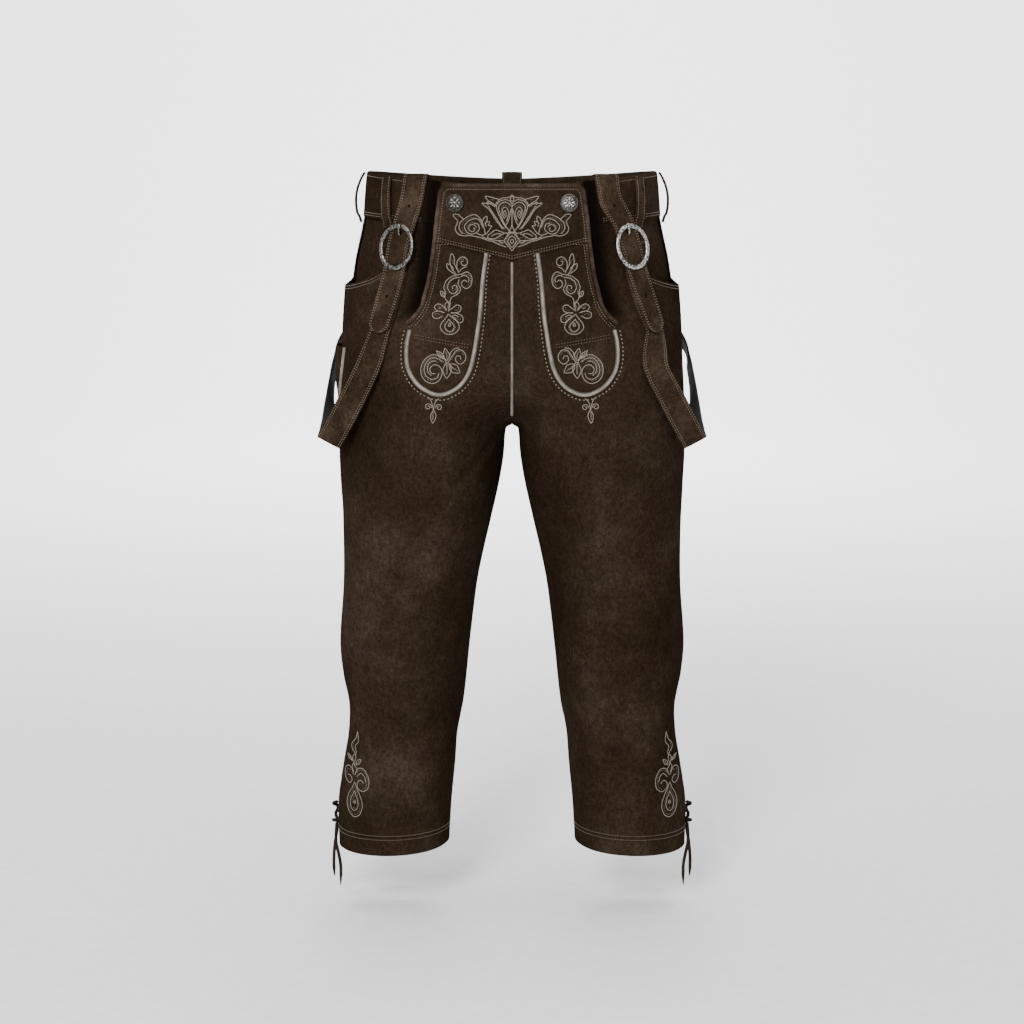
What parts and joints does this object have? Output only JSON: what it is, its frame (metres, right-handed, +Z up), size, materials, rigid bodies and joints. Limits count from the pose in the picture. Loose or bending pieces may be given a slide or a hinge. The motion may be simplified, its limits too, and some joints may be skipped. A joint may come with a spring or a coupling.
{
  "type": "knee breeches (european folk dress)",
  "caption": "Hollow suede knee breeches with a buttoned drop front, piped U-shaped tongues, hip pockets, a knife pocket, knee lacing, belt loops and hanging buckled braces.",
  "frame": {"origin": "centre of the waist opening, level with the middle of the waistband", "axes": "+Z up towards the waist, +Y from the front to the back, +X to the wearer's left"},
  "size_m": [0.4367, 0.273, 0.8306],
  "materials": {
    "suede": "napped dark-brown suede, mottled",
    "flap_suede": "napped dark-brown suede, a little darker",
    "strap_leather": "short-napped brown strap leather with stitched edges",
    "piping": "grey-beige fuzzy piping",
    "thong": "rolled dark leather thong",
    "antique_silver": "cast and darkened silver-coloured metal"
  },
  "bodies": {
    "root": {"front_left": "suede", "front_right": "suede", "back_left": "suede", "back_right": "suede", "facing_left": "suede", "facing_right": "suede", "waistband_left": "suede", "waistband_right": "suede", "waistband_back": "suede", "knife_pocket": "suede", "flap_yoke": "flap_suede", "flap_binding": "flap_suede", "tongue_left": "flap_suede", "tongue_right": "flap_suede", "tongue_piping_left": "piping", "tongue_piping_right": "piping", "centre_piping": "piping", "knife_pocket_piping": "piping", "billet_left": "strap_leather", "billet_right": "strap_leather", "brace_strap_left": "strap_leather", "brace_strap_right": "strap_leather", "belt_loop_front_left": "strap_leather", "belt_loop_front_right": "strap_leather", "belt_loop_side_left": "strap_leather", "belt_loop_side_right": "strap_leather", "belt_loop_back_left": "strap_leather", "belt_loop_back_right": "strap_leather", "belt_loop_centre": "strap_leather", "buckle_left": "antique_silver", "buckle_right": "antique_silver", "prong_left": "antique_silver", "prong_right": "antique_silver", "button_left": "antique_silver", "button_right": "antique_silver", "strap_button_left": "antique_silver", "strap_button_right": "antique_silver", "lacing_left": "thong", "lacing_right": "thong", "lace_end_left_front": "thong", "lace_end_left_back": "thong", "lace_end_right_front": "thong", "lace_end_right_back": "thong"}
  },
  "joints": []
}
